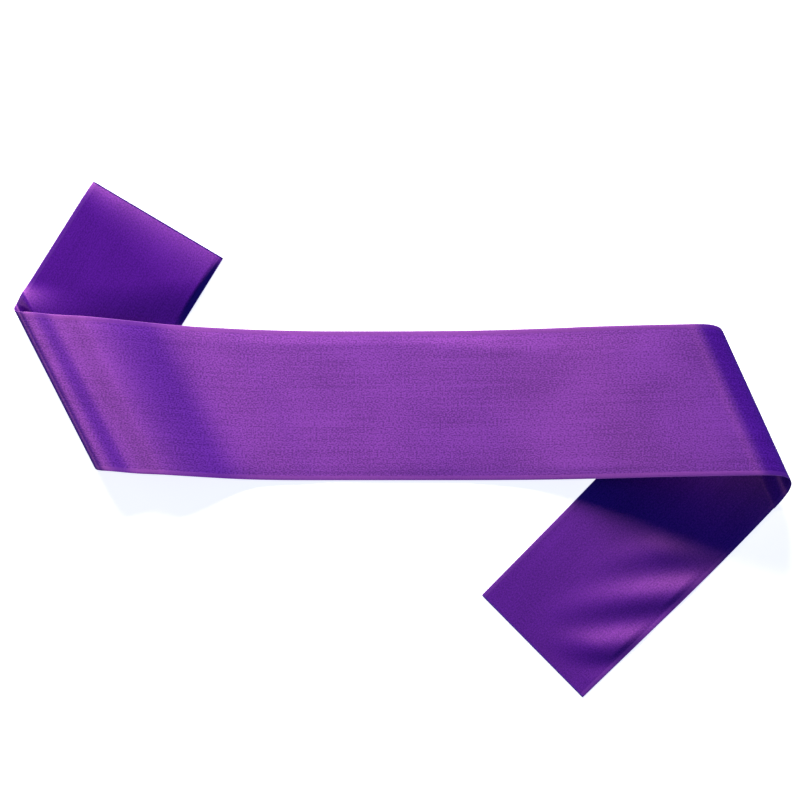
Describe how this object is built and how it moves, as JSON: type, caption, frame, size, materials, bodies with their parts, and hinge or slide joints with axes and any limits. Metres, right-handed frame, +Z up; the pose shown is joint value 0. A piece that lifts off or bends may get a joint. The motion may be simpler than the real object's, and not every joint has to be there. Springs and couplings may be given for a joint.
{
  "type": "award ribbon",
  "caption": "Wide strip of plain satin ribbon lying in a Z, creased back under itself at the left end and rolled under in a soft loop at the right end.",
  "frame": {"origin": "on the table, under the middle of the ribbon's overall box", "axes": "+X along the main band towards the soft loop, +Y towards the rear, +Z up"},
  "size_m": [0.514, 0.3449, 0.03],
  "materials": {
    "satin_face": "satin weave, face side, soft sheen",
    "satin_back": "satin weave, reverse side, smoother and darker",
    "woven_edge": "dense woven selvedge",
    "melted_edge": "polyester melted by a hot knife"
  },
  "bodies": {
    "band": {"band_cloth": "satin_face", "band_rear_selvedge": "woven_edge", "band_front_selvedge": "woven_edge"},
    "left_fold_1": {"left_fold_1_cloth": "satin_face", "left_fold_1_rear_selvedge": "woven_edge", "left_fold_1_front_selvedge": "woven_edge"},
    "left_fold_2": {"left_fold_2_cloth": "satin_back", "left_fold_2_rear_selvedge": "woven_edge", "left_fold_2_front_selvedge": "woven_edge"},
    "left_tail": {"left_tail_cloth": "satin_back", "left_tail_rear_selvedge": "woven_edge", "left_tail_front_selvedge": "woven_edge", "left_tail_sealed_end": "melted_edge"},
    "right_fold_1": {"right_fold_1_cloth": "satin_face", "right_fold_1_rear_selvedge": "woven_edge", "right_fold_1_front_selvedge": "woven_edge"},
    "right_fold_2": {"right_fold_2_cloth": "satin_face", "right_fold_2_rear_selvedge": "woven_edge", "right_fold_2_front_selvedge": "woven_edge"},
    "right_fold_3": {"right_fold_3_cloth": "satin_back", "right_fold_3_rear_selvedge": "woven_edge", "right_fold_3_front_selvedge": "woven_edge"},
    "right_tail": {"right_tail_cloth": "satin_back", "right_tail_rear_selvedge": "woven_edge", "right_tail_front_selvedge": "woven_edge", "right_tail_sealed_end": "melted_edge"}
  },
  "joints": [
    {"name": "left_fold_opens", "type": "hinge", "parent": "band", "child": "left_fold_1", "pos_m": [-0.22374, 0.02852, 0.01293], "axis": [-0.4617, 0.887, 0], "range_deg": [0, 60]},
    {"name": "left_fold_2_opens", "type": "hinge", "parent": "left_fold_1", "child": "left_fold_2", "pos_m": [-0.22881, 0.03084, 0.007], "axis": [-0.4617, 0.887, 0], "range_deg": [0, 60]},
    {"name": "left_tail_opens", "type": "hinge", "parent": "left_fold_2", "child": "left_tail", "pos_m": [-0.2278, 0.03632, 0.00107], "axis": [-0.4617, 0.887, 0], "range_deg": [0, 60]},
    {"name": "right_fold_opens", "type": "hinge", "parent": "band", "child": "right_fold_1", "pos_m": [0.22352, 0.02044, 0.02872], "axis": [0.3987, -0.9171, 0], "range_deg": [0, 45]},
    {"name": "right_fold_2_opens", "type": "hinge", "parent": "right_fold_1", "child": "right_fold_2", "pos_m": [0.23292, 0.019, 0.02068], "axis": [0.3987, -0.9171, 0], "range_deg": [0, 45]},
    {"name": "right_fold_3_opens", "type": "hinge", "parent": "right_fold_2", "child": "right_fold_3", "pos_m": [0.23494, 0.01434, 0.00932], "axis": [0.3987, -0.9171, 0], "range_deg": [0, 45]},
    {"name": "right_tail_opens", "type": "hinge", "parent": "right_fold_3", "child": "right_tail", "pos_m": [0.22959, 0.00649, 0.00128], "axis": [0.3987, -0.9171, 0], "range_deg": [0, 45]}
  ],
  "couplings": [
    {"joint": "left_fold_2_opens", "follows": "left_fold_opens", "ratio": 1},
    {"joint": "left_tail_opens", "follows": "left_fold_opens", "ratio": 1},
    {"joint": "right_fold_2_opens", "follows": "right_fold_opens", "ratio": 1},
    {"joint": "right_fold_3_opens", "follows": "right_fold_opens", "ratio": 1},
    {"joint": "right_tail_opens", "follows": "right_fold_opens", "ratio": 1}
  ]
}
